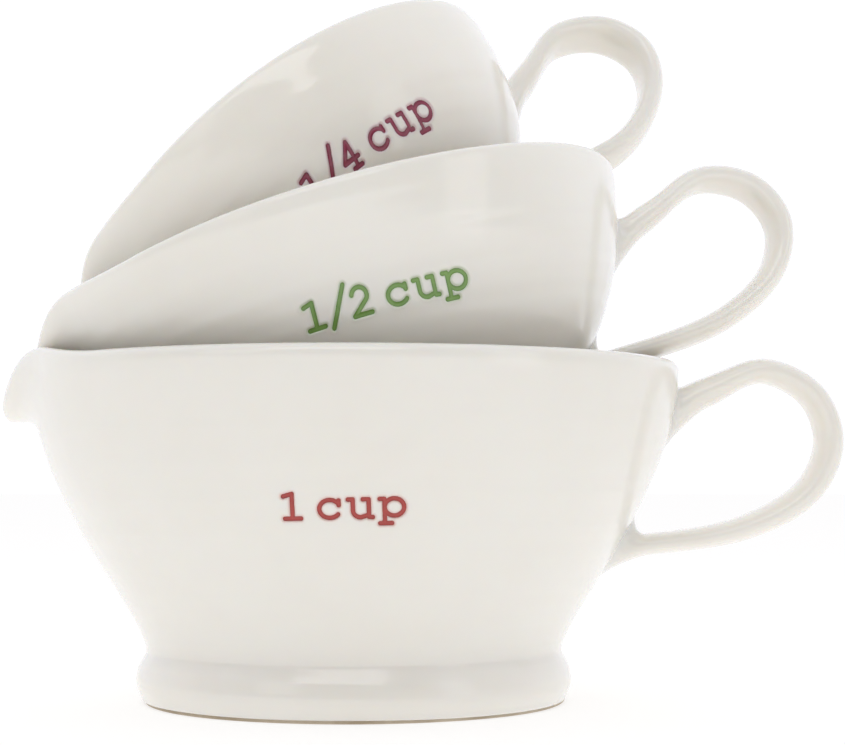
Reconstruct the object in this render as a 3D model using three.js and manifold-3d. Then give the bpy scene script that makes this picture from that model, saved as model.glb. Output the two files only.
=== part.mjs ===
import * as THREE from 'three';
import { mergeVertices } from 'three/addons/utils/BufferGeometryUtils.js';
import Module from 'manifold-3d';

const wasm = await Module();
wasm.setup();

// Every size is in millimetres and +Z is up. Each cup is drawn standing on its own foot,
// spout toward -X, handle toward +X, capacity mark toward -Y, then set in its place.

// Shared by the three cups
const WALL = 3.1;            // thickness of the thrown wall
const GAP = 0.3;             // between pieces that are joined in the real cup
const TURN_STEPS = 40;       // facets round a turned piece
const RIM_ROUND = 1.6;       // rounding of the lip
const FLOOR_ROUND = 7;       // inside corner between floor and wall
const FLOOR_THICKNESS = 3.4;
const RING_WIDTH = 6.4;      // of the bare foot ring under the cup
const SPOUT_REACH = 4.8;     // beyond the lip
const SPOUT_DEPTH = 6.8;     // lip to the bottom of the pouring channel
const SPOUT_FALL = 10.1;     // lip to the underside of the spout
const SPOUT_ROOT = 12.2;     // lip to where the spout leaves the wall
const SPOUT_HALF_ANGLE = 26; // degrees of the rim on each side
const HANDLE_THICKNESS = 4.8;
const HANDLE_WIDTH = 11.5;
const MARK_DEPTH = 0.9;      // of the stamped pocket
const MARK_STROKE = 0.72;
const X_HEIGHT = 2.65;       // of the small letters
const CAP_HEIGHT = 3.65;     // of the figures

const CREAM = { color: 0xefece2, roughness: 0.22, metalness: 0 };
const BARE = { color: 0xe9e2d2, roughness: 0.42, metalness: 0 };

// The outline of a wall is one cubic from the waist to the lip: it leaves the waist upright,
// swings out, and arrives nearly upright again.
const CUPS = [
  {
    name: 'one_cup',
    lip: 55.2, height: 57.1,
    waist: 35.1, waistZ: 8.6, waistPull: 6.2,
    belly: 53.2, bellyZ: 32.2,
    footBulge: 36.8, footContact: 35.3,
    handleDrop: 1, handleOut: 0, handleLow: 0,
    mark: ['1', ' ', 'c', 'u', 'p'], markName: ['1', '', 'c', 'u', 'p'],
    markX: 0, markZ: 33.0, markSlope: 1.2, markColor: 0xb23a36,
    at: [0, 0, 57.1], tilt: 0, lean: 0, turn: 0,
  },
  {
    name: 'half_cup',
    lip: 49.9, height: 42.6,
    waist: 30.1, waistZ: 8.0, waistPull: 1.5,
    belly: 44.4, bellyZ: 14.0,
    footBulge: 31.6, footContact: 30.2,
    handleDrop: 0.93, handleOut: 1.2, handleLow: 3.5,
    mark: ['1', '/', '2', ' ', 'c', 'u', 'p'], markName: ['1', 'slash', '2', '', 'c', 'u', 'p'],
    markX: 0.5, markZ: 23.8, markSlope: 0, markColor: 0x7ba552,
    at: [-3.7, 0, 76.0], tilt: 17.2, lean: 6.5, turn: 7.5,
  },
  {
    name: 'quarter_cup',
    lip: 42.6, height: 35.8,
    waist: 26.4, waistZ: 7.2, waistPull: 1.2,
    belly: 40.0, bellyZ: 11.0,
    footBulge: 27.8, footContact: 26.5,
    handleDrop: 0.9, handleOut: 1.5, handleLow: 3.1,
    mark: ['1', '/', '4', ' ', 'c', 'u', 'p'], markName: ['1', 'slash', '4', '', 'c', 'u', 'p'],
    markX: -0.7, markZ: 16.2, markSlope: 3.8, markColor: 0x7c3450,
    at: [-12.2, 3.9, 90.0], tilt: 38, lean: 17, turn: 19.6,
  },
];

// The centre line of a handle as (out from the lip, below the lip)
const HANDLE_LINE = [
  [-4.5, 8.6], [4.6, 4.9], [14.6, 1.1], [23.0, 5.2],
  [25.9, 13.2], [22.2, 21.6], [10.8, 28.0],
];
const HANDLE_FALL = 31.6;     // lip to the lower root, where the cup is tall enough
const ROOT_ABOVE_WAIST = 3.2; // and where it is not

const RAD = Math.PI / 180;

// Geometry and solids

function toSolid(geometry) {
  const bare = geometry.clone();
  bare.deleteAttribute('normal');
  bare.deleteAttribute('uv');
  const merged = mergeVertices(bare, 1e-4);
  const mesh = new wasm.Mesh({
    numProp: 3,
    vertProperties: new Float32Array(merged.attributes.position.array),
    triVerts: new Uint32Array(merged.index.array),
  });
  mesh.merge();
  return new wasm.Manifold(mesh);
}

function toGeometry(solid) {
  const mesh = solid.getMesh();
  const geometry = new THREE.BufferGeometry();
  geometry.setAttribute('position', new THREE.BufferAttribute(mesh.vertProperties, 3));
  geometry.setIndex(new THREE.BufferAttribute(mesh.triVerts, 1));
  geometry.computeVertexNormals();
  return geometry;
}

// Turns (radius, height) pairs about the Z axis
function turned(outline) {
  const points = outline.map(([r, z]) => new THREE.Vector2(r, z));
  const geometry = new THREE.LatheGeometry(points, TURN_STEPS);
  geometry.rotateX(Math.PI / 2);
  const solid = toSolid(geometry);
  return solid.volume() < 0 ? flipped(geometry) : solid;
}

function flipped(geometry) {
  const turnedOver = geometry.clone();
  const index = turnedOver.index.array;
  for (let i = 0; i < index.length; i += 3) {
    const first = index[i];
    index[i] = index[i + 1];
    index[i + 1] = first;
  }
  return toSolid(turnedOver);
}

// Skins a row of closed rings, each a list of Vector3, and caps both ends
function lofted(rings) {
  const count = rings[0].length;
  const vertices = [];
  const faces = [];
  for (const ring of rings) {
    for (const p of ring) vertices.push(p.x, p.y, p.z);
  }
  for (let i = 0; i + 1 < rings.length; i += 1) {
    for (let j = 0; j < count; j += 1) {
      const a = i * count + j;
      const b = i * count + ((j + 1) % count);
      faces.push(a, b, a + count, b, b + count, a + count);
    }
  }
  const capShape = (ring, start, reverse) => {
    const origin = ring[0];
    const along = ring[1].clone().sub(origin).normalize();
    const normal = new THREE.Vector3();
    for (let j = 1; j + 1 < count; j += 1) {
      const u = ring[j].clone().sub(origin);
      const v = ring[j + 1].clone().sub(origin);
      normal.add(u.cross(v));
    }
    normal.normalize();
    const across = new THREE.Vector3().crossVectors(normal, along);
    const flat = ring.map((p) => {
      const d = p.clone().sub(origin);
      return new THREE.Vector2(d.dot(along), d.dot(across));
    });
    for (const [a, b, c] of THREE.ShapeUtils.triangulateShape(flat, [])) {
      if (reverse) faces.push(start + a, start + c, start + b);
      else faces.push(start + a, start + b, start + c);
    }
  };
  capShape(rings[0], 0, true);
  capShape(rings[rings.length - 1], (rings.length - 1) * count, false);
  const geometry = new THREE.BufferGeometry();
  geometry.setAttribute('position', new THREE.BufferAttribute(new Float32Array(vertices), 3));
  geometry.setIndex(faces);
  const solid = toSolid(geometry);
  return solid.volume() < 0 ? flipped(geometry) : solid;
}

// The outside of a wall, from the waist to just under the lip, pushed out by `grow`
function wallOutline(cup, grow, steps) {
  const curve = new THREE.CubicBezierCurve(
    new THREE.Vector2(cup.waist, cup.waistZ),
    new THREE.Vector2(cup.waist, cup.waistZ + cup.waistPull),
    new THREE.Vector2(cup.belly, cup.bellyZ),
    new THREE.Vector2(cup.lip, cup.height - RIM_ROUND),
  );
  const outline = [];
  for (let i = 0; i <= steps; i += 1) {
    const p = curve.getPoint(i / steps);
    const d = curve.getTangent(i / steps);
    outline.push([p.x + d.y * grow, p.y - d.x * grow]);
  }
  return outline;
}

function radiusAt(outline, z) {
  for (let i = 0; i + 1 < outline.length; i += 1) {
    const [r0, z0] = outline[i];
    const [r1, z1] = outline[i + 1];
    if (z <= z1) return r0 + ((r1 - r0) * (z - z0)) / (z1 - z0);
  }
  return outline[outline.length - 1][0];
}

// A filled outer shape of the wall, for trimming what touches it
function envelope(cup, grow) {
  const wall = wallOutline(cup, grow, 14);
  const under = cup.waistZ - 2;
  const over = cup.height + 4;
  const top = wall[wall.length - 1][0];
  return turned([[0, under], [wall[0][0], under], ...wall, [top, over], [0, over]]);
}

// The foot of a cup, filled and a little oversize
function footEnvelope(cup) {
  const r = cup.footBulge + GAP;
  return turned([[0, -1], [r, -1], [r, cup.waistZ - 2], [cup.waist + GAP, cup.waistZ], [0, cup.waistZ]]);
}

function bowlSolid(cup) {
  const outer = wallOutline(cup, 0, 8);
  const floorZ = cup.waistZ - 2.6 + FLOOR_THICKNESS;
  const inner = wallOutline(cup, -WALL, 8).filter(([, z]) => z > floorZ + FLOOR_ROUND * 0.75);
  const lip = cup.lip - RIM_ROUND;
  const rim = [35, 75, 115, 155].map((a) => [
    lip + RIM_ROUND * Math.cos(a * RAD),
    cup.height - RIM_ROUND + RIM_ROUND * Math.sin(a * RAD),
  ]);
  const recess = cup.waist - RING_WIDTH + 0.6;
  const corner = inner[0];
  const floorRadius = corner[0] - FLOOR_ROUND * 1.15;
  return turned([
    [0, cup.waistZ - 2.6],
    [recess - 0.9, cup.waistZ - 2.6],
    [recess, cup.waistZ],
    ...outer,
    ...rim,
    ...inner.reverse(),
    [corner[0] - FLOOR_ROUND * 0.34, floorZ + FLOOR_ROUND * 0.2],
    [floorRadius, floorZ],
    [0, floorZ],
  ]);
}

function footSolid(cup) {
  const top = cup.waistZ - GAP;
  const inside = cup.waist - RING_WIDTH + 1.2;
  return turned([
    [inside, 1.0],
    [cup.footContact - 2.4, 0],
    [cup.footContact, 0],
    [cup.footBulge - 0.5, 1.9],
    [cup.footBulge - 0.1, 4.8],
    [cup.waist, top],
    [inside, top],
    [inside, 1.0],
  ]);
}

// The rim inside the spout's angle swings out and down, from the plain wall at its two sides
// to the open channel in the middle.
function spoutSolid(cup) {
  const outer = wallOutline(cup, 0, 40);
  const inner = wallOutline(cup, -WALL, 40);
  const { lip, height } = cup;
  const ro = (drop) => radiusAt(outer, height - drop);
  const ri = (drop) => radiusAt(inner, height - drop);
  const plain = [
    [ro(SPOUT_ROOT), SPOUT_ROOT], [ro(10), 10], [ro(7.6), 7.6], [ro(5), 5], [ro(2.6), 2.6],
    [lip - 0.2, 1], [lip - 1.1, 0.1], [lip - 2.1, 0.1],
    [ri(1.6), 1.2], [ri(4), 4], [ri(7.5), 7.5], [ri(SPOUT_ROOT), SPOUT_ROOT],
  ];
  const open = [
    [ro(SPOUT_ROOT), SPOUT_ROOT], [ro(11) + 0.4, 11], [lip + 0.6, SPOUT_FALL],
    [lip + 3.4, SPOUT_FALL + 0.1], [lip + SPOUT_REACH - 0.9, SPOUT_FALL - 0.2],
    [lip + SPOUT_REACH, SPOUT_FALL - 1.2],
    [lip + SPOUT_REACH - 0.1, SPOUT_FALL - 2.4],
    [lip + SPOUT_REACH - 1.2, SPOUT_DEPTH + 0.2],
    [lip + 1.2, SPOUT_DEPTH], [lip - 2.4, SPOUT_DEPTH + 0.3],
    [ri(9) + 0.2, 9], [ri(SPOUT_ROOT), SPOUT_ROOT],
  ];
  const stations = 12;
  const rings = [];
  for (let i = 0; i <= stations; i += 1) {
    const side = (2 * i) / stations - 1;
    const angle = side * SPOUT_HALF_ANGLE * RAD;
    const blend = Math.cos((side * Math.PI) / 2) ** 1.6;
    const reach = Math.cos((side * Math.PI) / 2) ** 1.1;
    rings.push(plain.map(([r, drop], k) => {
      const radius = r + (open[k][0] - r) * reach;
      const z = height - drop - (open[k][1] - drop) * blend;
      return new THREE.Vector3(-radius * Math.cos(angle), radius * Math.sin(angle), z);
    }));
  }
  return lofted(rings);
}

// What the spout takes out of the bowl's rim
function spoutNotch(cup) {
  const angle = (SPOUT_HALF_ANGLE + 0.35) * RAD;
  const reach = cup.lip + 12;
  const low = cup.height - SPOUT_ROOT - GAP;
  const shape = new THREE.Shape();
  shape.moveTo(0, 0);
  shape.lineTo(-reach, reach * Math.tan(angle));
  shape.lineTo(-reach, -reach * Math.tan(angle));
  shape.closePath();
  const wedge = new THREE.ExtrudeGeometry(shape, { depth: 40, bevelEnabled: false });
  wedge.translate(0, 0, low);
  return toSolid(wedge);
}

// A strap, thicker and wider where its two roots meet the wall
function handleSolid(cup) {
  const reach = cup.lip + cup.handleOut;
  const start = cup.height - cup.handleLow;
  const points = HANDLE_LINE.map(
    ([out, drop]) => new THREE.Vector3(reach + out, 0, start - drop * cup.handleDrop),
  );
  const footZ = Math.max(
    start - HANDLE_FALL * cup.handleDrop,
    cup.waistZ + ROOT_ABOVE_WAIST,
  );
  points.push(new THREE.Vector3(radiusAt(wallOutline(cup, 0, 24), footZ) - 2.5, 0, footZ));
  const curve = new THREE.CatmullRomCurve3(points, false, 'centripetal');
  const stations = 18;
  const around = 10;
  const rings = [];
  for (let i = 0; i <= stations; i += 1) {
    const s = i / stations;
    const p = curve.getPointAt(s);
    const d = curve.getTangentAt(s);
    const root = Math.max(0, 1 - s / 0.2) ** 2 + Math.max(0, 1 - (1 - s) / 0.2) ** 2;
    const half = (HANDLE_THICKNESS / 2) * (1 + 0.75 * root);
    const wide = (HANDLE_WIDTH / 2) * (1 + 0.3 * root);
    const ring = [];
    for (let j = 0; j < around; j += 1) {
      const a = (2 * Math.PI * (j + 0.5)) / around;
      const n = Math.sign(Math.cos(a)) * Math.abs(Math.cos(a)) ** 0.8 * half;
      const y = Math.sign(Math.sin(a)) * Math.abs(Math.sin(a)) ** 0.8 * wide;
      ring.push(new THREE.Vector3(p.x - d.z * n, y, p.z + d.x * n));
    }
    rings.push(ring);
  }
  return lofted(rings);
}

// Lettering: plain strokes with round ends, each a list of (x, y), y up from the base line

function arc(cx, cy, rx, ry, from, to, steps) {
  const points = [];
  for (let i = 0; i <= steps; i += 1) {
    const a = (from + ((to - from) * i) / steps) * RAD;
    points.push([cx + rx * Math.cos(a), cy + ry * Math.sin(a)]);
  }
  return points;
}

const half = X_HEIGHT / 2;
const GLYPHS = {
  1: { width: 2.4, strokes: [[[-0.15, 3.3], [1.15, CAP_HEIGHT], [1.15, 0]], [[0, 0], [2.4, 0]]] },
  2: { width: 2.85, strokes: [[...arc(1.4, 2.65, 1.15, 1.2, 165, -32, 5), [0.1, 0], [2.8, 0]]] },
  4: {
    width: 2.8,
    strokes: [
      [[1.95, 0], [1.95, CAP_HEIGHT], [0.1, 1.2], [2.7, 1.2]],
      [[1.2, 0], [2.7, 0]],
    ],
  },
  '/': { width: 2.35, strokes: [[[0.1, -0.65], [2.8, CAP_HEIGHT + 1.1]]] },
  c: { width: 3.2, strokes: [[...arc(1.55, half, 1.55, half, 322, 42, 8), [2.9, 2.55], [2.9, 1.85]]] },
  u: {
    width: 3.6,
    strokes: [
      [[0, X_HEIGHT], [0.7, X_HEIGHT], ...arc(1.85, 1, 1.15, 1, 180, 270, 3), [3.05, 0.35]],
      [[2.2, X_HEIGHT], [3.05, X_HEIGHT], [3.05, 0.05], [3.6, 0]],
    ],
  },
  p: {
    width: 3.6,
    strokes: [
      [[0, X_HEIGHT], [0.7, X_HEIGHT], [0.7, -0.95]],
      [[0, -0.95], [1.75, -0.95]],
      arc(2.15, half + 0.1, 1.45, half - 0.05, 0, 360, 9),
    ],
  },
  ' ': { width: 0.6, strokes: [] },
};
const LETTER_GAP = 1.08;

function strokeShape(strokes, width) {
  const pen = wasm.CrossSection.circle(width / 2, 7);
  const parts = [];
  for (const line of strokes) {
    for (let i = 0; i + 1 < line.length; i += 1) {
      const pair = [pen.translate(line[i]), pen.translate(line[i + 1])];
      parts.push(wasm.CrossSection.hull(pair));
    }
  }
  return wasm.CrossSection.union(parts).simplify(0.02);
}

// Stands a flat shape up facing -Y and pushes it through the front wall
function throughFront(shape, cup) {
  const sloped = shape.rotate(cup.markSlope);
  return sloped.extrude(40).rotate([90, 0, 0]).translate([cup.markX, -20, cup.markZ]);
}

// Finished nodes

function addMesh(group, name, solid, look) {
  const mesh = new THREE.Mesh(toGeometry(solid), new THREE.MeshStandardMaterial(look));
  mesh.name = name;
  group.add(mesh);
}

function buildCup(cup) {
  const group = new THREE.Group();
  const glaze = { color: cup.markColor, roughness: 0.3, metalness: 0 };
  let bowl = bowlSolid(cup).subtract(spoutNotch(cup));

  const letters = cup.mark.map((key) => GLYPHS[key]);
  const total = letters.reduce((sum, g) => sum + g.width + LETTER_GAP, -LETTER_GAP);
  const pocketZone = envelope(cup, 2).subtract(envelope(cup, -MARK_DEPTH));
  const fillZone = envelope(cup, -0.15).subtract(envelope(cup, GAP - MARK_DEPTH));
  let pen = -total / 2;
  letters.forEach((glyph, i) => {
    if (glyph.strokes.length > 0) {
      const place = [pen, -X_HEIGHT / 2];
      const pocket = strokeShape(glyph.strokes, MARK_STROKE + 2 * GAP).translate(place);
      const fill = strokeShape(glyph.strokes, MARK_STROKE).translate(place);
      bowl = bowl.subtract(throughFront(pocket, cup).intersect(pocketZone));
      const inlay = throughFront(fill, cup).intersect(fillZone);
      addMesh(group, `${cup.name}_mark_${cup.markName[i]}`, inlay, glaze);
    }
    pen += glyph.width + LETTER_GAP;
  });

  const trim = envelope(cup, GAP).add(footEnvelope(cup));
  addMesh(group, `${cup.name}_bowl`, bowl, CREAM);
  addMesh(group, `${cup.name}_foot_ring`, footSolid(cup), BARE);
  addMesh(group, `${cup.name}_spout`, spoutSolid(cup), CREAM);
  addMesh(group, `${cup.name}_handle`, handleSolid(cup).subtract(trim), CREAM);

  // The cup's own axis leans, and `at` is the middle of its lip
  const tilt = cup.tilt * RAD;
  const lean = cup.lean * RAD;
  const axis = new THREE.Vector3(
    -Math.sin(tilt),
    Math.sin(lean) * Math.cos(tilt),
    Math.cos(lean) * Math.cos(tilt),
  );
  const right = new THREE.Vector3(Math.cos(tilt), 0, Math.sin(tilt));
  right.addScaledVector(axis, -right.dot(axis)).normalize();
  const back = new THREE.Vector3().crossVectors(axis, right);
  group.quaternion.setFromRotationMatrix(new THREE.Matrix4().makeBasis(right, back, axis));
  group.rotateZ(cup.turn * RAD);
  group.position.set(...cup.at).addScaledVector(axis, -cup.height);
  return group;
}

const inner = new THREE.Group();
for (const cup of CUPS) inner.add(buildCup(cup));

// The origin is the bottom centre of the whole set's bounding box
inner.updateMatrixWorld(true);
const box = new THREE.Box3().setFromObject(inner, true);
const centre = box.getCenter(new THREE.Vector3());
inner.position.set(-centre.x, -centre.y, -box.min.z);

const group = new THREE.Group();
group.add(inner);
export default group;
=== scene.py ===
"""Three nested porcelain measuring cups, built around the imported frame.

Lengths are millimetres until a mesh is made. Each cup is drawn standing on its own foot, with its
spout toward -X and its mark toward -Y, and placed() leans it into the stack.
"""
import math
import bpy
import numpy as np
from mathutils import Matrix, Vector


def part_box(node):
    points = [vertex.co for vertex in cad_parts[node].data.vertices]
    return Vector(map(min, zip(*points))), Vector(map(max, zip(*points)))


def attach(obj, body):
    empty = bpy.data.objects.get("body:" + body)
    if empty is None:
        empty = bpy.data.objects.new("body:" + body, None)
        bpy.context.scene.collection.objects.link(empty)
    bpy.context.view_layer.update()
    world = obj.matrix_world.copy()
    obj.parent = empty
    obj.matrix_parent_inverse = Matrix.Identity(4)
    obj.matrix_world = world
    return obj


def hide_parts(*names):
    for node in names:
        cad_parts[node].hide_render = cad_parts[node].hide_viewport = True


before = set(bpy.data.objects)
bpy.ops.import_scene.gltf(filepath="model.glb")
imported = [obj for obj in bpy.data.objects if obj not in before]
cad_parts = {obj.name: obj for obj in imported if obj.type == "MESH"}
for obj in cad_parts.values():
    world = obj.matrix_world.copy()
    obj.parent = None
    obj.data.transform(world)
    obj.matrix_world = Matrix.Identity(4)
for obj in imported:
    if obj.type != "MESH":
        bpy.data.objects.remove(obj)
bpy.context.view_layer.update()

# ---- shared sizes, most of them as in the CAD part ----
WALL = 3.1
RIM_ROUND = 1.6
FLOOR_ROUND = 7.0        # inside corner between floor and wall
FLOOR_THICKNESS = 3.4
FLOOR_BELOW_WAIST = 2.6  # from the waist down to the underside of the floor
RING_WIDTH = 5.2         # of the foot, from its inside to the waist
SPOUT_REACH = 4.8        # out from the lip
SPOUT_DEPTH = 6.8        # lip down to the bottom of the channel
SPOUT_FALL = 10.1        # lip down to the underside of the spout
SPOUT_ROOT = 12.2        # lip down to where the wall is round again
SPOUT_HALF_ANGLE = 26.0
LIP_RISE = 0.043         # of the lip radius: how far the rim climbs on its way to the spout
STRAP_THICKNESS = 4.8
STRAP_WIDTH = 11.5
STROKE = 0.76
STAMP_DEPTH = 0.5        # of a character pressed into the wall
FILL_TOP = 0.3           # from the wall in to the surface of the colour
FILL_BOTTOM = 0.75
X_HEIGHT = 2.65
CAP_HEIGHT = 3.65
LETTER_GAP = 1.08

# The wall is one cubic from the waist to the lip, steered by waist_pull and by the belly point.
# `at` is the middle of the lip in the stack, and tilt, lean and turn are degrees.
CUPS = [
    dict(
        name="one_cup", lip=55.2, height=57.1, waist=35.1, waist_z=8.6, waist_pull=6.2,
        belly=53.2, belly_z=32.2, bulge=36.8, contact=35.3,
        handle_drop=1.0, handle_out=0.0, handle_low=0.0, strap=0.93,
        mark="1 cup", mark_x=0.0, mark_z=33.0, mark_slope=1.2, ink="red_glaze",
        at=(0.0, 0.0, 57.1), tilt=0.0, lean=0.0, turn=0.0, seed=1.0,
    ),
    dict(
        name="half_cup", lip=49.9, height=42.6, waist=30.1, waist_z=8.0, waist_pull=1.5,
        belly=44.4, belly_z=14.0, bulge=31.6, contact=30.2,
        handle_drop=0.93, handle_out=1.2, handle_low=3.5, strap=0.84,
        mark="1/2 cup", mark_x=0.5, mark_z=23.8, mark_slope=0.0, ink="green_glaze",
        at=(-3.7, 0.0, 76.0), tilt=17.2, lean=6.5, turn=7.5, seed=2.0,
    ),
    dict(
        name="quarter_cup", lip=42.6, height=35.8, waist=26.4, waist_z=7.2, waist_pull=1.2,
        belly=40.0, belly_z=11.0, bulge=27.8, contact=26.5,
        handle_drop=0.9, handle_out=1.5, handle_low=3.1, strap=0.84,
        mark="1/4 cup", mark_x=-0.7, mark_z=16.8, mark_slope=3.4, ink="plum_glaze",
        at=(-12.2, 3.9, 90.0), tilt=38.0, lean=17.0, turn=19.6, seed=3.0,
    ),
]

# The centre line of a handle as (out from the lip, below the lip). It ends just inside the wall,
# HANDLE_FALL below the lip, or ROOT_ABOVE_WAIST above the waist where that is higher.
HANDLE_LINE = [
    (-4.5, 8.6), (4.6, 4.9), (14.6, 1.1), (23.0, 5.2), (25.9, 13.2), (22.2, 21.6), (10.8, 28.0),
]
HANDLE_FALL = 31.6
ROOT_ABOVE_WAIST = 3.2

# How closely the meshes follow the stamped characters
MARK_ROW = 0.15      # between rows of the wall across a mark
MARK_COLUMN = 8.0   # degrees between columns there, times the belly radius
FILL_STEP = 0.13     # grid of the coloured fills
MARK_BAND = 4.6                             # half the height of the finely divided band


def smooth(x):
    """A soft step from 0 to 1 as x goes from 0 to 1."""
    x = np.clip(x, 0.0, 1.0)
    return x * x * (3.0 - 2.0 * x)


# ---- outlines ----

def wall(cup, grow=0.0, steps=240):
    """(radius, height) up the outside of the wall, from the waist to the lip, pushed out by grow."""
    t = np.linspace(0.0, 1.0, steps)[:, None]
    a, b, c, d = (np.array(p) for p in (
        (cup["waist"], cup["waist_z"]),
        (cup["waist"], cup["waist_z"] + cup["waist_pull"]),
        (cup["belly"], cup["belly_z"]),
        (cup["lip"], cup["height"] - RIM_ROUND),
    ))
    line = (1 - t) ** 3 * a + 3 * (1 - t) ** 2 * t * b + 3 * (1 - t) * t * t * c + t ** 3 * d
    way = 3 * (1 - t) ** 2 * (b - a) + 6 * (1 - t) * t * (c - b) + 3 * t * t * (d - c)
    way /= np.linalg.norm(way, axis=1)[:, None]
    return line + grow * np.stack([way[:, 1], -way[:, 0]], axis=1)


def rounded(points, steps):
    """A centripetal Catmull-Rom curve through the points, with evenly spaced samples along it."""
    p = [np.array(q, float) for q in points]
    p = [2 * p[0] - p[1]] + p + [2 * p[-1] - p[-2]]
    out = []
    for i in range(1, len(p) - 2):
        k = [0.0]
        for j in range(3):
            k.append(k[-1] + max(np.linalg.norm(p[i + j] - p[i + j - 1]), 1e-6) ** 0.5)
        t = np.linspace(k[1], k[2], 40, endpoint=i == len(p) - 3)[:, None]
        a1 = (k[1] - t) / (k[1] - k[0]) * p[i - 1] + (t - k[0]) / (k[1] - k[0]) * p[i]
        a2 = (k[2] - t) / (k[2] - k[1]) * p[i] + (t - k[1]) / (k[2] - k[1]) * p[i + 1]
        a3 = (k[3] - t) / (k[3] - k[2]) * p[i + 1] + (t - k[2]) / (k[3] - k[2]) * p[i + 2]
        b1 = (k[2] - t) / (k[2] - k[0]) * a1 + (t - k[0]) / (k[2] - k[0]) * a2
        b2 = (k[3] - t) / (k[3] - k[1]) * a2 + (t - k[1]) / (k[3] - k[1]) * a3
        out.append((k[2] - t) / (k[2] - k[1]) * b1 + (t - k[1]) / (k[2] - k[1]) * b2)
    return spaced(np.concatenate(out), steps)


def spaced(line, steps):
    """The same line with that many evenly spaced points."""
    far = np.concatenate([[0.0], np.cumsum(np.linalg.norm(np.diff(line, axis=0), axis=1))])
    want = np.linspace(0.0, far[-1], steps)
    return np.stack([np.interp(want, far, line[:, k]) for k in range(line.shape[1])], axis=1)


def radius_at(line, z):
    """The radius of an outline at a height."""
    order = np.argsort(line[:, 1])
    return np.interp(z, line[order, 1], line[order, 0])


def lip_sections(cup, steps):
    """The section of the wall near the lip, outside to inside: as thrown, and as pulled out to pour."""
    outer, inner = wall(cup), wall(cup, -WALL)
    lip, height = cup["lip"], cup["height"]

    def out(drop):
        return float(radius_at(outer, height - drop))

    def inn(drop):
        return float(radius_at(inner, height - drop))

    r = RIM_ROUND
    bend = [(lip - r + r * math.cos(a), r - r * math.sin(a))
            for a in np.radians([30, 62, 90, 125, 155])]
    side = [(out(d), d) for d in (SPOUT_ROOT, 10.0, 7.6, 5.0, 3.0)]
    back = [(inn(d), d) for d in (3.4, 5.6, 8.4, SPOUT_ROOT)]
    plain = rounded(side + bend + back, steps)
    tip = lip + SPOUT_REACH
    pulled = rounded([
        (out(SPOUT_ROOT), SPOUT_ROOT), (out(11.2) + 0.2, 11.2), (lip + 0.4, SPOUT_FALL + 0.1),
        (lip + 2.9, SPOUT_FALL), (tip - 1.0, SPOUT_FALL - 0.1), (tip - 0.1, SPOUT_FALL - 1.1),
        (tip - 0.2, SPOUT_FALL - 2.3), (tip - 1.5, SPOUT_DEPTH + 0.25), (lip + 1.0, SPOUT_DEPTH),
        (lip - 2.2, SPOUT_DEPTH + 0.35), (inn(9.4) + 0.15, 9.4), (inn(SPOUT_ROOT), SPOUT_ROOT),
    ], steps)
    for section in (plain, pulled):
        section[:, 1] = height - section[:, 1]
    return plain, pulled


# ---- lettering: plain strokes with round ends, as (x, y) from the base line ----

def arc(cx, cy, rx, ry, start, stop, steps=14):
    """Points along an ellipse between two angles in degrees."""
    return [(cx + rx * math.cos(math.radians(a)), cy + ry * math.sin(math.radians(a)))
            for a in np.linspace(start, stop, steps)]


HALF_X = X_HEIGHT / 2
GLYPHS = {  # character: (width, strokes)
    "1": (2.4, [[(-0.15, 3.3), (1.15, CAP_HEIGHT), (1.15, 0.0)], [(0.0, 0.0), (2.4, 0.0)]]),
    "2": (2.85, [arc(1.4, 2.65, 1.15, 1.2, 165, -32) + [(0.1, 0.0), (2.8, 0.0)]]),
    "4": (2.8, [[(1.95, 0.0), (1.95, CAP_HEIGHT), (0.1, 1.2), (2.7, 1.2)], [(1.2, 0.0), (2.7, 0.0)]]),
    "/": (2.35, [[(0.1, -0.65), (2.8, CAP_HEIGHT + 1.1)]]),
    "c": (3.2, [arc(1.55, HALF_X, 1.55, HALF_X, 322, 42, 20) + [(2.9, 2.55), (2.9, 1.85)]]),
    "u": (3.6, [[(0.0, X_HEIGHT), (0.7, X_HEIGHT)] + arc(1.85, 1.0, 1.15, 1.0, 180, 270, 8)
                + [(3.05, 0.35)],
                [(2.2, X_HEIGHT), (3.05, X_HEIGHT), (3.05, 0.05), (3.6, 0.0)]]),
    "p": (3.6, [[(0.0, X_HEIGHT), (0.7, X_HEIGHT), (0.7, -0.95)], [(0.0, -0.95), (1.75, -0.95)],
                arc(2.15, HALF_X + 0.1, 1.45, HALF_X - 0.05, 0, 360, 26)]),
    " ": (0.6, []),
}
NAMES = {"/": "slash"}


def written(cup):
    """[(character, strokes)] of a cup's mark, turned about its own middle by mark_slope."""
    text = cup["mark"]
    slope = math.radians(cup["mark_slope"])
    turned = np.array([[math.cos(slope), math.sin(slope)],
                       [-math.sin(slope), math.cos(slope)]])
    pen = -(sum(GLYPHS[c][0] for c in text) + LETTER_GAP * (len(text) - 1)) / 2
    out = []
    for c in text:
        width, strokes = GLYPHS[c]
        if strokes:
            level = [np.array(s) + (pen, -HALF_X) for s in strokes]
            out.append((c, [line @ turned + (cup["mark_x"], 0.0) for line in level]))
        pen += width + LETTER_GAP
    return out


def mark_half(cup):
    """Half the width of a cup's mark, with a little room."""
    return max(abs(s[:, 0]).max() for _, strokes in written(cup) for s in strokes) + 1.0


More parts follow.
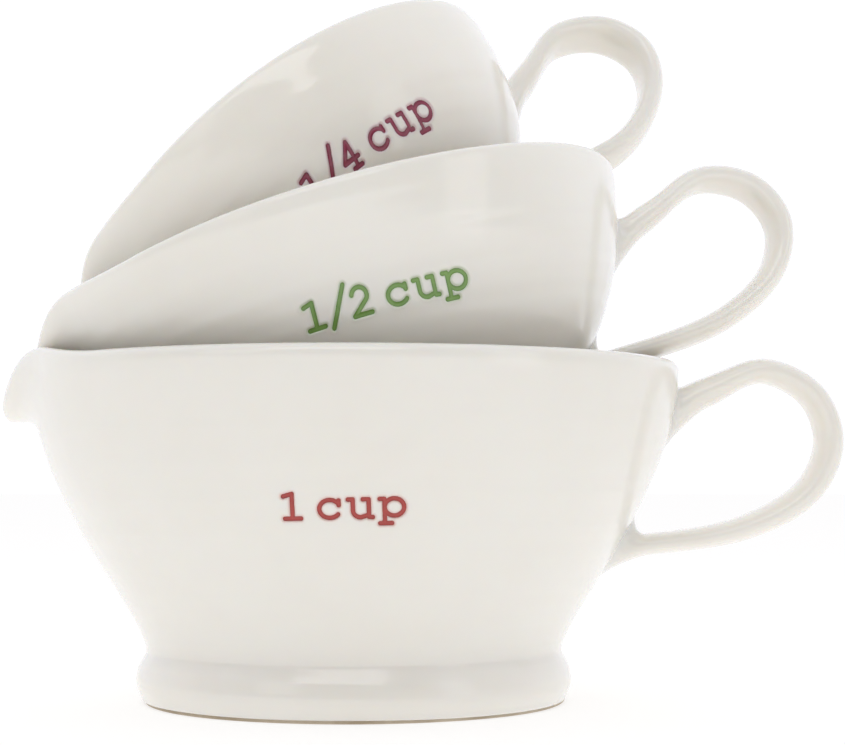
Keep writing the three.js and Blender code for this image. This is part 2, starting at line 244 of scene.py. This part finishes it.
def stroke_distance(strokes, x, y):
    """How far each point is outside the edge of the strokes: negative inside them."""
    best = np.full(np.shape(x), 1e3)
    for line in strokes:
        for (ax, ay), (bx, by) in zip(line[:-1], line[1:]):
            dx, dy = bx - ax, by - ay
            t = np.clip(((x - ax) * dx + (y - ay) * dy) / (dx * dx + dy * dy), 0.0, 1.0)
            best = np.minimum(best, np.hypot(x - ax - t * dx, y - ay - t * dy))
    return best - STROKE / 2


# ---- meshes ----

def placed(cup):
    """The 4 x 4 that takes the cup from its own millimetres to metres in the row frame."""
    tilt, lean, turn = (math.radians(cup[k]) for k in ("tilt", "lean", "turn"))
    axis = np.array([
        -math.sin(tilt),
        math.sin(lean) * math.cos(tilt),
        math.cos(lean) * math.cos(tilt),
    ])
    right = np.array([math.cos(tilt), 0.0, math.sin(tilt)])
    right -= axis * right.dot(axis)
    right /= np.linalg.norm(right)
    basis = np.stack([right, np.cross(axis, right), axis], axis=1)
    spin = np.array([
        [math.cos(turn), -math.sin(turn), 0],
        [math.sin(turn), math.cos(turn), 0],
        [0, 0, 1],
    ])
    low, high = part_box("one_cup_foot_ring")
    standing = np.array([(low[0] + high[0]) / 2, (low[1] + high[1]) / 2, low[2]])
    out = np.eye(4)
    out[:3, :3] = basis @ spin * 0.001
    out[:3, 3] = standing + (np.array(cup["at"]) - cup["height"] * axis) * 0.001
    return out


def make(name, points, faces, matrix, material, attributes=None):
    """One closed smooth-shaded mesh, its faces turned outward."""
    points = points @ matrix[:3, :3].T + matrix[:3, 3]
    a, b, c = (points[[f[i] for f in faces]] for i in (0, 1, 2))
    d = points[[f[-1] for f in faces]]
    volume = np.einsum("ij,ij->", a, np.cross(b, c)) + np.einsum("ij,ij->", a, np.cross(c, d))
    if volume < 0:
        faces = [f[::-1] for f in faces]
    mesh = bpy.data.meshes.new(name)
    mesh.from_pydata(points.tolist(), [], faces)
    mesh.polygons.foreach_set("use_smooth", [True] * len(mesh.polygons))
    for key, values in (attributes or {}).items():
        attribute = mesh.attributes.new(key, "FLOAT", "POINT")
        attribute.data.foreach_set("value", values.astype(np.float32))
    mesh.materials.append(material)
    mesh.validate()
    piece = bpy.data.objects.new(name, mesh)
    bpy.context.scene.collection.objects.link(piece)
    return piece


def ring_faces(rows, columns):
    """Quads between the rows of a grid that closes on itself along each row."""
    i, j = np.meshgrid(np.arange(rows - 1), np.arange(columns), indexing="ij")
    k = (j + 1) % columns
    here, above = i * columns, (i + 1) * columns
    return np.stack([here + j, here + k, above + k, above + j], axis=-1).reshape(-1, 4).tolist()


def capped(grid):
    """Points and faces of a grid of closed rows, with a middle point closing each end."""
    rows, columns = grid.shape[:2]
    ends = [grid[0].mean(0)[None], grid[-1].mean(0)[None]]
    points = np.concatenate([grid.reshape(-1, 3)] + ends)
    faces = ring_faces(rows, columns)
    first, last = rows * columns, rows * columns + 1
    top = (rows - 1) * columns
    for j in range(columns):
        k = (j + 1) % columns
        faces.append([first, k, j])
        faces.append([last, top + j, top + k])
    return points, faces


def azimuths(cup):
    """Angles round a cup, 0 at the spout, closest together across the mark and at the spout."""
    angle, out = -math.pi, []
    reach = math.degrees(math.asin(mark_half(cup) / (cup["belly"] - 8.0)))
    while angle < math.pi - 1e-4:
        out.append(angle)
        from_mark = abs(math.degrees(angle) + 90)
        from_spout = abs(math.degrees(angle))
        fine = MARK_COLUMN / cup["belly"]
        step = fine + 2.2 * smooth(np.array((from_mark - reach) / 10.0))
        step = min(step, 0.7 + 1.6 * float(smooth(np.array((from_spout - 27.0) / 8.0))))
        angle += math.radians(float(step))
    return np.array(out)


def unevenness(cup, angle, z):
    """How far hand throwing leaves the wall from true, in millimetres."""
    s, up = cup["seed"], z / cup["height"]
    out_of_round = (0.13 * np.sin(2 * angle + s) * up + 0.07 * np.sin(3 * angle + 2.1 * s)
                    + 0.05 * np.sin(5 * angle + 12 * up + s))
    throwing_rings = (0.035 * np.sin(z * 1.15 + 0.8 * np.sin(angle + s))
                      + 0.02 * np.sin(z * 2.3 + 1.7 * np.sin(2 * angle)))
    return out_of_round + throwing_rings


def bowl_heights(cup):
    """Heights up the wall, from the waist to the root of the spout, close together at the mark."""
    heights = [cup["waist_z"] + 0.25]
    while heights[-1] < cup["height"] - SPOUT_ROOT - 0.3:
        away = max(abs(heights[-1] - cup["mark_z"]) - MARK_BAND, 0.0)
        heights.append(heights[-1] + min(MARK_ROW + away * 0.35, 0.9))
    heights[-1] = cup["height"] - SPOUT_ROOT
    return heights


def bowl(cup, matrix, material):
    """The thrown body with its glazed foot, its pulled spout and the stamped mark."""
    wz, w, h = cup["waist_z"], cup["waist"], cup["height"]
    under = wz - FLOOR_BELOW_WAIST
    floor = under + FLOOR_THICKNESS
    inside = w - RING_WIDTH
    outer, inner = wall(cup, 0.0, 900), wall(cup, -WALL, 400)

    # the outline: underside, foot, wall, lip, inside of the wall, floor
    below = rounded([
        (0.02, under + 0.35), (inside * 0.5, under + 0.3), (inside - 2.4, under + 0.1),
        (inside - 0.7, under - 0.55), (inside - 0.1, under - 1.8), (inside, 1.3),
    ], 34)
    bulge, contact = cup["bulge"], cup["contact"]
    foot = rounded([
        (inside + 0.25, 0.6), (contact - 1.0, 0.55), (contact + 0.3, 0.55), (bulge - 0.75, 1.5),
        (bulge - 0.1, 3.1), (bulge - 0.05, 4.6), (bulge - 0.5, 6.2), (w + 0.5, wz - 1.0),
        (w + 0.12, wz - 0.35), (w, wz),
    ], 52)
    heights = bowl_heights(cup)
    side = np.stack([radius_at(outer, np.array(heights)), heights], axis=1)[:-1]
    plain, pulled = lip_sections(cup, 72)
    corner = inner[inner[:, 1] > floor + FLOOR_ROUND * 0.8][0]
    straight = (inner[:, 1] > corner[1]) & (inner[:, 1] < h - SPOUT_ROOT - 0.4)
    within = inner[straight][::-1]
    within = spaced(within, max(int(np.ptp(within[:, 1]) / 1.1), 6))
    bottom = rounded([
        corner, (corner[0] - FLOOR_ROUND * 0.3, floor + FLOOR_ROUND * 0.25),
        (corner[0] - FLOOR_ROUND * 1.1, floor + 0.25), (corner[0] * 0.5, floor),
        (0.02, floor - 0.1),
    ], 30)
    before = np.concatenate([below, foot, side])
    after = np.concatenate([within, bottom[1:]])

    # turned round the axis, with the lip drawn out and down into the spout
    angle = azimuths(cup)
    half = math.radians(SPOUT_HALF_ANGLE)
    bump = np.cos(np.clip(angle / half, -1, 1) * math.pi / 2)
    lobe = np.where(np.abs(angle) < half, bump, 0.0)[None, :, None]
    drop, reach = lobe ** 3.0, lobe ** 1.9
    lip_z = plain[:, None, 1:] + (pulled[:, None, 1:] - plain[:, None, 1:]) * drop
    lip_r = plain[:, None, :1] + (pulled[:, None, :1] - plain[:, None, :1]) * reach
    ones = np.ones((1, len(angle), 1))
    lip = np.concatenate([lip_r, lip_z], axis=2)
    profile = np.concatenate([before[:, None, :] * ones, lip, after[:, None, :] * ones])
    r, z = profile[..., 0], profile[..., 1]
    a = angle[None, :] * np.ones_like(r)
    near_spout = smooth((45.0 - np.abs(np.degrees(a))) / 35.0)
    z = z + LIP_RISE * cup["lip"] * near_spout * smooth((z - h + SPOUT_ROOT) / SPOUT_ROOT)
    rim_calm = 1.0 - 0.6 * smooth((z - h + 14.0) / 10.0)
    r = r + unevenness(cup, a, z) * np.clip(r / 20.0, 0.0, 1.0) * rim_calm

    # the mark pressed in, with a faint raised edge
    x, y = -r * np.cos(a), r * np.sin(a)
    row = np.arange(len(profile))[:, None]
    on_wall = (row >= len(below) + len(foot)) & (row < len(before))
    outside = on_wall & (y < 0) & (np.abs(x) < 17)
    gap = np.full(r.shape, 9.0)
    for _, strokes in written(cup):
        edge = stroke_distance(strokes, x[outside], z[outside] - cup["mark_z"])
        gap[outside] = np.minimum(gap[outside], edge)
    raised = 0.05 * np.exp(-((gap - 0.28) / 0.16) ** 2)
    sunk = STAMP_DEPTH * smooth((0.1 - gap) / 0.3) - raised
    r = r - np.where(outside, sunk, 0.0)
    grid = np.stack([-r * np.cos(a), r * np.sin(a), z], axis=-1)
    points, faces = capped(grid)
    ink = np.exp(-(np.clip(gap, 0.0, None) / 0.22) ** 2) * (gap < 8)
    ink = np.concatenate([ink.ravel(), [0.0, 0.0]])
    return make(cup["name"] + "_glazed_body", points, faces, matrix, material, {"ink": ink})


def foot_ring(cup, matrix, material):
    """The bare band that the glaze is wiped from, where the cup stands; its dark material also paints
    the thin contact shadow along the floor.
    """
    inside, c = cup["waist"] - RING_WIDTH, cup["contact"]
    section = rounded([
        (inside + 0.5, 1.5), (inside + 0.2, 0.95), (inside + 0.55, 0.3), (c - 2.4, 0.02),
        (c - 1.2, 0.0), (c - 0.2, 0.03), (c + 0.2, 0.28), (c + 0.28, 0.55), (c - 0.2, 1.3),
    ], 40)
    angle = np.radians(np.arange(0.0, 360.0, 1.5))
    wobble = 0.05 * np.sin(3 * angle + cup["seed"])[:, None] + 0.03 * np.sin(7 * angle)[:, None]
    r = section[None, :, 0] + wobble
    z = section[None, :, 1] * np.ones_like(r)
    grid = np.stack([r * np.cos(angle)[:, None], r * np.sin(angle)[:, None], z], axis=-1)
    n, m = grid.shape[:2]
    faces = []
    for i in range(n):
        for j in range(m):
            k, q = (i + 1) % n, (j + 1) % m
            faces.append([i * m + j, k * m + j, k * m + q, i * m + q])
    return make(cup["name"] + "_bare_foot_painted_shade", grid.reshape(-1, 3), faces, matrix, material)


def handle(cup, matrix, material):
    """A pulled strap whose two roots are smoothed on to the wall."""
    outer, drop = wall(cup), cup["handle_drop"]
    reach, start = cup["lip"] + cup["handle_out"], cup["height"] - cup["handle_low"]
    foot_z = max(start - HANDLE_FALL * drop, cup["waist_z"] + ROOT_ABOVE_WAIST)
    points = [(reach + out, start - down * drop) for out, down in HANDLE_LINE]
    line = rounded(points + [(float(radius_at(outer, foot_z)) - 2.5, foot_z)], 400)
    off = line[:, 0] - radius_at(outer, line[:, 1])
    middle = len(line) // 2
    first = int(np.argmax(off > 4.2))
    last = middle + int(np.argmax(off[middle:] < 5.0))
    body = spaced(line[first:last + 1], 90)
    way = np.gradient(body, axis=0)
    way /= np.linalg.norm(way, axis=1)[:, None]
    s = np.linspace(0.0, 1.0, len(body))
    thinner_below = 0.1 * smooth((s - 0.6) / 0.3)
    thicker_root = 0.22 * (1 - smooth(s / 0.12))
    along = 0.93 + 0.12 * np.sin(math.pi * s) ** 2 - thinner_below + thicker_root
    thick = STRAP_THICKNESS / 2 * cup["strap"] * along
    spread = 1.0 - 0.06 * np.sin(math.pi * s) + 0.05 * smooth((s - 0.85) / 0.15)
    wide = STRAP_WIDTH / 2 * (0.3 + 0.7 * cup["strap"]) * spread
    turn = np.linspace(0.0, 2 * math.pi, 56, endpoint=False)
    # an ellipse with its sides filled out a little
    ca, sa = (np.sign(v) * np.abs(v) ** 0.85 for v in (np.cos(turn), np.sin(turn)))
    tube = np.stack([
        body[:, None, 0] - way[:, None, 1] * ca * thick[:, None],
        sa * wide[:, None] + 0.12 * np.sin(5 * s)[:, None],
        body[:, None, 1] + way[:, None, 0] * ca * thick[:, None],
    ], axis=-1)

    def root(ring, along, facing, z_mid, up, down, half, sink):
        """Rings from a footprint on the wall out to the first ring of the strap."""
        z = z_mid + np.where(ca * facing > 0, up, down) * ca * facing
        y = sa * half
        r = radius_at(outer, z) - sink
        footprint = np.stack([np.sqrt(r * r - y * y), y, z], axis=-1)
        inward = np.stack([np.zeros_like(y), -y, z_mid - z], axis=-1) * 1.1
        slope = radius_at(outer, z + 0.5) - radius_at(outer, z - 0.5)
        inward[:, 0] = slope * inward[:, 2] - y / footprint[:, 0] * inward[:, 1]
        leave = np.array([along[0], 0.0, along[1]]) * 5.0
        rings = []
        for t in np.linspace(0.0, 1.0, 18)[:-1]:
            a, b = 2 * t ** 3 - 3 * t * t + 1, t ** 3 - 2 * t * t + t
            c, d = -2 * t ** 3 + 3 * t * t, t ** 3 - t * t
            rings.append(a * footprint + b * inward + c * ring + d * leave)
        return np.array(rings)

    top = root(tube[0], way[0], 1, start - 9.1 * drop, 6.6, 7.4, 7.4, 0.25)
    tail = min(6.2, foot_z - cup["waist_z"] + 1.5)
    low = root(tube[-1], -way[-1], -1, foot_z + 0.6, 7.2, tail, 7.4, 0.25)
    grid = np.concatenate([top, tube, low[::-1]])
    points, faces = capped(grid)
    return make(cup["name"] + "_strap", points, faces, matrix, material)


def fill(cup, character, strokes, matrix, material):
    """The coloured glaze lying in one stamped character."""
    step = FILL_STEP
    low = np.min([s.min(0) for s in strokes], axis=0) - 1.0
    high = np.max([s.max(0) for s in strokes], axis=0) + 1.0
    ticks = [np.arange(low[k], high[k], step) for k in (0, 1)]
    gx, gy = np.meshgrid(*ticks, indexing="ij")
    gap = stroke_distance(strokes, gx, gy)
    cells = (gap[:-1, :-1] + gap[1:, :-1] + gap[:-1, 1:] + gap[1:, 1:]) / 4 < 0.03
    count = gx.shape[1]
    quads = []
    for i, j in zip(*np.nonzero(cells)):
        k = i * count + j
        quads.append([k, k + count, k + count + 1, k + 1])
    used = np.unique(quads)
    renumber = {int(k): n for n, k in enumerate(used)}
    x, y = gx.ravel()[used], gy.ravel()[used]
    edge = gap.ravel()[used]
    # pull the stepped rim of the grid on to the stroke's own edge
    for _ in range(2):
        right, left = (stroke_distance(strokes, x + dx, y) for dx in (0.02, -0.02))
        up, down = (stroke_distance(strokes, x, y + dy) for dy in (0.02, -0.02))
        slope_x, slope_y = (right - left) / 0.04, (up - down) / 0.04
        move = np.where(edge > -0.07, edge - 0.03, 0.0)
        x, y = x - move * slope_x, y - move * slope_y
        edge = stroke_distance(strokes, x, y)
    z = y + cup["mark_z"]
    base = radius_at(wall(cup, 0.0, 900), z)
    base += unevenness(cup, np.arctan2(-np.sqrt(base ** 2 - x ** 2), -x), z)
    hollow = 0.07 * smooth((edge + STROKE / 2) / 0.3)
    sheets = []
    for r in (base - FILL_TOP + hollow, base - FILL_BOTTOM):
        sheets.append(np.stack([x, -np.sqrt(r * r - x * x), z], axis=-1))
    n = len(x)
    faces, rim = [], {}
    for quad in quads:
        q = [renumber[int(k)] for k in quad]
        faces.append(q)
        faces.append([k + n for k in q[::-1]])
        for a, b in zip(q, q[1:] + q[:1]):
            if (b, a) in rim:
                del rim[(b, a)]
            else:
                rim[(a, b)] = True
    faces += [[b, a, a + n, b + n] for a, b in rim]
    label = cup["name"] + "_ink_" + NAMES.get(character, character)
    both = np.concatenate([edge, edge])
    return make(label, np.concatenate(sheets), faces, matrix, material, {"edge": both})


# ---- materials ----

class Nodes:
    """A short way to write a node material."""

    def __init__(self, name):
        self.material = bpy.data.materials.new(name)
        self.material.use_nodes = True
        self.tree = self.material.node_tree
        self.tree.nodes.clear()
        self.shader = self.add("ShaderNodeBsdfPrincipled")
        self.link(self.shader.outputs[0], self.add("ShaderNodeOutputMaterial").inputs["Surface"])
        self.place = self.add("ShaderNodeTexCoord").outputs["Object"]

    def add(self, kind, **settings):
        node = self.tree.nodes.new(kind)
        for key, value in settings.items():
            setattr(node, key, value)
        return node

    def link(self, out, socket):
        self.tree.links.new(out, socket)

    def noise(self, scale, detail=3.0, roughness=0.5):
        node = self.add("ShaderNodeTexNoise")
        node.inputs["Scale"].default_value = scale
        node.inputs["Detail"].default_value = detail
        node.inputs["Roughness"].default_value = roughness
        self.link(self.place, node.inputs["Vector"])
        return node.outputs["Fac"]

    def cells(self, scale):
        node = self.add("ShaderNodeTexVoronoi")
        node.inputs["Scale"].default_value = scale
        self.link(self.place, node.inputs["Vector"])
        return node

    def map(self, value, low, high, to_low=0.0, to_high=1.0, kind="LINEAR"):
        node = self.add("ShaderNodeMapRange", interpolation_type=kind)
        numbers = {"From Min": low, "From Max": high, "To Min": to_low, "To Max": to_high}
        for key, number in numbers.items():
            node.inputs[key].default_value = number
        self.link(value, node.inputs["Value"])
        return node.outputs["Result"]

    def math(self, operation, a, b):
        node = self.add("ShaderNodeMath", operation=operation)
        for socket, value in zip(node.inputs, (a, b)):
            if isinstance(value, (int, float)):
                socket.default_value = value
            else:
                self.link(value, socket)
        return node.outputs[0]

    def attribute(self, name):
        return self.add("ShaderNodeAttribute", attribute_name=name).outputs["Fac"]

    def mix(self, factor, a, b):
        node = self.add("ShaderNodeMix", data_type="RGBA")
        for socket, value in ((node.inputs[0], factor), (node.inputs[6], a), (node.inputs[7], b)):
            if isinstance(value, (int, float)):
                socket.default_value = value
            elif isinstance(value, tuple):
                socket.default_value = (*value, 1.0)
            else:
                self.link(value, socket)
        return node.outputs[2]

    def bump(self, height, strength, distance, normal=None):
        node = self.add("ShaderNodeBump")
        node.inputs["Strength"].default_value = strength
        node.inputs["Distance"].default_value = distance
        self.link(height, node.inputs["Height"])
        if normal is not None:
            self.link(normal, node.inputs["Normal"])
        return node.outputs[0]

    def set(self, **values):
        for key, value in values.items():
            socket = self.shader.inputs[key.replace("_", " ")]
            if isinstance(value, bpy.types.NodeSocket):
                self.link(value, socket)
            elif isinstance(value, tuple) and len(value) == 3 and socket.type == "RGBA":
                socket.default_value = (*value, 1.0)
            else:
                socket.default_value = value


def porcelain(name, tint):
    """Clear glaze over warm white porcelain, with the colour of the mark bleeding a little into it."""
    n = Nodes(name)
    cloud = n.map(n.noise(28.0, 3.0), 0.3, 0.7)
    fine = n.map(n.noise(160.0, 2.0), 0.3, 0.7)
    colour = n.mix(cloud, (0.885, 0.852, 0.785), (0.91, 0.883, 0.825))
    colour = n.mix(n.math("MULTIPLY", fine, 0.25), colour, (0.925, 0.905, 0.85))
    spots = n.cells(170.0)
    seen = n.map(spots.outputs["Distance"], 0.02, 0.05, 1.0, 0.0, "SMOOTHSTEP")
    pick = n.add("ShaderNodeSeparateColor")
    n.link(spots.outputs["Color"], pick.inputs[0])
    chosen = n.math("GREATER_THAN", pick.outputs[0], 0.965)
    speck = n.math("MULTIPLY", n.math("MULTIPLY", seen, chosen), 0.5)
    colour = n.mix(speck, colour, (0.42, 0.36, 0.27))
    bleed = n.math("MULTIPLY", n.attribute("ink"), 0.55)
    colour = n.mix(bleed, colour, tint)
    gloss = n.map(n.noise(60.0, 4.0), 0.3, 0.75, 0.11, 0.2)
    ripple = n.noise(55.0, 2.0)
    pin = n.map(n.cells(700.0).outputs["Distance"], 0.0, 0.18, 0.0, 1.0)
    bump = n.bump(ripple, 0.25, 0.0004)
    bump = n.bump(pin, 0.03, 0.00005, bump)
    n.set(Base_Color=colour, Roughness=gloss, Normal=bump, IOR=1.5,
          Coat_Weight=0.4, Coat_Roughness=0.06, Subsurface_Weight=0.22,
          Subsurface_Radius=(1.0, 0.72, 0.42), Subsurface_Scale=0.004)
    return n.material


def bare_clay_with_painted_shade():
    """Unglazed porcelain where the foot is wiped clean: matt, warmer and a little gritty, and dark
    brown, which also paints the thin contact shadow under the foot.
    """
    n = Nodes("bare_porcelain")
    stain = n.map(n.noise(120.0, 4.0, 0.6), 0.35, 0.65)
    # these browns are darker than bare porcelain: they also paint the contact shadow where the foot
    # meets the floor
    colour = n.mix(stain, (0.40, 0.32, 0.22), (0.55, 0.47, 0.36))
    grit = n.noise(2500.0, 3.0, 0.7)
    rough = n.map(grit, 0.3, 0.7, 0.55, 0.8)
    n.set(Base_Color=colour, Roughness=rough, Normal=n.bump(grit, 0.35, 0.00008), IOR=1.45)
    return n.material


def coloured(name, deep, light):
    """Colour under clear glaze, darkest where it gathers along the edges of the stamp."""
    n = Nodes(name)
    pooled = n.map(n.attribute("edge"), -0.36, -0.04, 0.0, 1.0, "SMOOTHSTEP")
    drift = n.map(n.noise(420.0, 3.0, 0.6), 0.3, 0.7)
    where = n.math("ADD", n.math("MULTIPLY", pooled, 0.55), n.math("MULTIPLY", drift, 0.45))
    colour = n.mix(where, light, deep)
    bump = n.bump(n.noise(900.0, 2.0), 0.2, 0.00008)
    gloss = n.map(n.noise(500.0), 0.3, 0.7, 0.14, 0.26)
    n.set(Base_Color=colour, Roughness=gloss, Normal=bump, IOR=1.5,
          Coat_Weight=0.5, Coat_Roughness=0.06)
    return n.material


# where the colour gathers, the rest of it, and what it leaves in the glaze round it
INKS = {
    "red_glaze": ((0.31, 0.016, 0.012), (0.47, 0.045, 0.033), (0.80, 0.45, 0.40)),
    "green_glaze": ((0.10, 0.235, 0.035), (0.215, 0.385, 0.09), (0.60, 0.72, 0.47)),
    "plum_glaze": ((0.15, 0.012, 0.036), (0.33, 0.038, 0.085), (0.70, 0.45, 0.52)),
}
BARE_WITH_SHADE = bare_clay_with_painted_shade()

for cup in CUPS:
    matrix = placed(cup)
    deep, light, tint = INKS[cup["ink"]]
    glaze = porcelain(cup["name"] + "_porcelain", tint)
    ink = coloured(cup["ink"], deep, light)
    name = cup["name"]
    piece = bowl(cup, matrix, glaze)
    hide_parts(name + "_bowl", name + "_spout")
    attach(piece, name)
    piece = handle(cup, matrix, glaze)
    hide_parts(name + "_handle")
    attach(piece, name)
    piece = foot_ring(cup, matrix, BARE_WITH_SHADE)
    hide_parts(name + "_foot_ring")
    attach(piece, name)
    for character, strokes in written(cup):
        piece = fill(cup, character, strokes, matrix, ink)
        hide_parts(name + "_mark_" + NAMES.get(character, character))
        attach(piece, name)

# ---- camera: in front of the largest cup, a little above the middle of it, tipped up ----
CAMERA_ASIDE = 0.0115  # metres from the middle of the foot
CAMERA_BACK = 0.3398
CAMERA_UP = 0.0363
CAMERA_TIP = 3.283     # degrees
CAMERA_LENS = 84.4     # millimetres, on a sensor 36 mm wide

low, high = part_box("one_cup_foot_ring")
camera = bpy.data.objects.new("camera", bpy.data.cameras.new("camera"))
bpy.context.scene.collection.objects.link(camera)
camera.data.sensor_width = 36.0
camera.data.lens = CAMERA_LENS
camera.data.clip_start = 0.01
camera.location = (
    (low[0] + high[0]) / 2 + CAMERA_ASIDE,
    (low[1] + high[1]) / 2 - CAMERA_BACK,
    CAMERA_UP,
)
camera.rotation_euler = (math.radians(90 + CAMERA_TIP), 0.0, 0.0)
bpy.context.scene.camera = camera

# ---- floor and light ----
bpy.context.scene.view_settings.view_transform = "Standard"
FLOOR_HALF = 9.0
FLOOR_LINES = 9

n = Nodes("floor_paint")
n.set(Base_Color=(0.42, 0.41, 0.39), Roughness=0.8, Specular_IOR_Level=0.0,
      Emission_Color=(0.99, 0.99, 1.0), Emission_Strength=0.66)
steps = np.linspace(-FLOOR_HALF, FLOOR_HALF, FLOOR_LINES)
floor_points = np.array([[x, y, 0.0] for x in steps for y in steps])
floor_faces = []
for i in range(FLOOR_LINES - 1):
    for j in range(FLOOR_LINES - 1):
        k = i * FLOOR_LINES + j
        floor_faces.append([k, k + FLOOR_LINES, k + FLOOR_LINES + 1, k + 1])
floor_mesh = bpy.data.meshes.new("floor")
floor_mesh.from_pydata(floor_points.tolist(), [], floor_faces)
floor_mesh.materials.append(n.material)
floor = bpy.data.objects.new("floor", floor_mesh)
bpy.context.scene.collection.objects.link(floor)

# a white tent all round, brighter behind the cups than in front of them
world = bpy.data.worlds.new("studio")
bpy.context.scene.world = world
world.use_nodes = True
tree = world.node_tree
background = tree.nodes["Background"]
background.inputs["Color"].default_value = (0.985, 0.99, 1.03, 1.0)
split = tree.nodes.new("ShaderNodeSeparateXYZ")
tree.links.new(tree.nodes.new("ShaderNodeTexCoord").outputs["Generated"], split.inputs[0])
ramp = tree.nodes.new("ShaderNodeMapRange")
ramp.interpolation_type = "SMOOTHSTEP"
for key, number in {"From Min": -0.5, "From Max": 0.85, "To Min": 0.17, "To Max": 1.05}.items():
    ramp.inputs[key].default_value = number
aside = tree.nodes.new("ShaderNodeMath")
aside.operation = "ABSOLUTE"
tree.links.new(split.outputs["X"], aside.inputs[0])


def weighted(socket, weight, rest):
    """socket * weight + rest, in the world's nodes."""
    node = tree.nodes.new("ShaderNodeMath")
    node.operation = "MULTIPLY_ADD"
    node.inputs[1].default_value = weight
    tree.links.new(socket, node.inputs[0])
    tree.links.new(rest, node.inputs[2])
    return node.outputs[0]


behind = weighted(aside.outputs[0], 0.12, split.outputs["Y"])
tree.links.new(weighted(split.outputs["Z"], 0.75, behind), ramp.inputs["Value"])
tree.links.new(ramp.outputs["Result"], background.inputs["Strength"])


def panel(name, at, aim, width, height, watts):
    """A softbox that faces the point `aim`."""
    light = bpy.data.lights.new(name, "AREA")
    light.shape = "RECTANGLE"
    light.size, light.size_y, light.energy = width, height, watts
    lamp = bpy.data.objects.new(name, light)
    lamp.location = at
    way = np.array(at) - np.array(aim)
    yaw, tip = math.atan2(way[0], -way[1]), math.acos(way[2] / np.linalg.norm(way))
    lamp.rotation_euler = (tip, 0.0, yaw)
    bpy.context.scene.collection.objects.link(lamp)


panel("front_box", (-0.12, -0.85, 0.85), (0.0, 0.0, 0.07), 0.9, 0.5, 2.3)
panel("left_box", (-0.62, -0.75, 0.42), (0.0, 0.0, 0.06), 0.40, 0.5, 0.42)
panel("right_box", (0.60, -0.42, 0.24), (0.0, 0.0, 0.07), 0.24, 0.55, 0.34)
